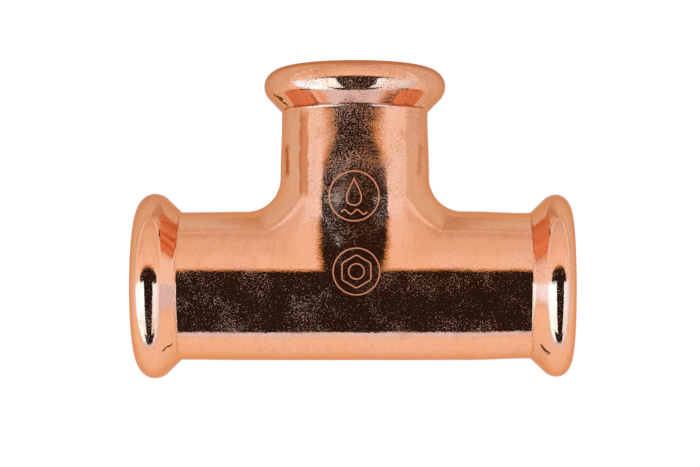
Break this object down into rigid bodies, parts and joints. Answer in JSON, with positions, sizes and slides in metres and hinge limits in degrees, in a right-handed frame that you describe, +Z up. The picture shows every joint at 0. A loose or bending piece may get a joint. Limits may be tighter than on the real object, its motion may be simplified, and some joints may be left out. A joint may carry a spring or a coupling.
{
  "type": "tee fitting",
  "caption": "Equal copper tee for 22 mm pipe: a formed body with a rolled collar round each press-fit socket and a rubber seal ring inside each collar.",
  "frame": {"origin": "on the surface the tee lies on, under the middle of its bounding box", "axes": "+X along the run, +Y along the branch towards its mouth, +Z up with the tee lying flat"},
  "size_m": [0.0726, 0.0516, 0.0305],
  "materials": {
    "copper": "gloss",
    "seal_rubber": "satin"
  },
  "bodies": {
    "root": {"tee_body": "copper", "left_seal_ring": "seal_rubber", "right_seal_ring": "seal_rubber", "branch_seal_ring": "seal_rubber"}
  },
  "joints": []
}
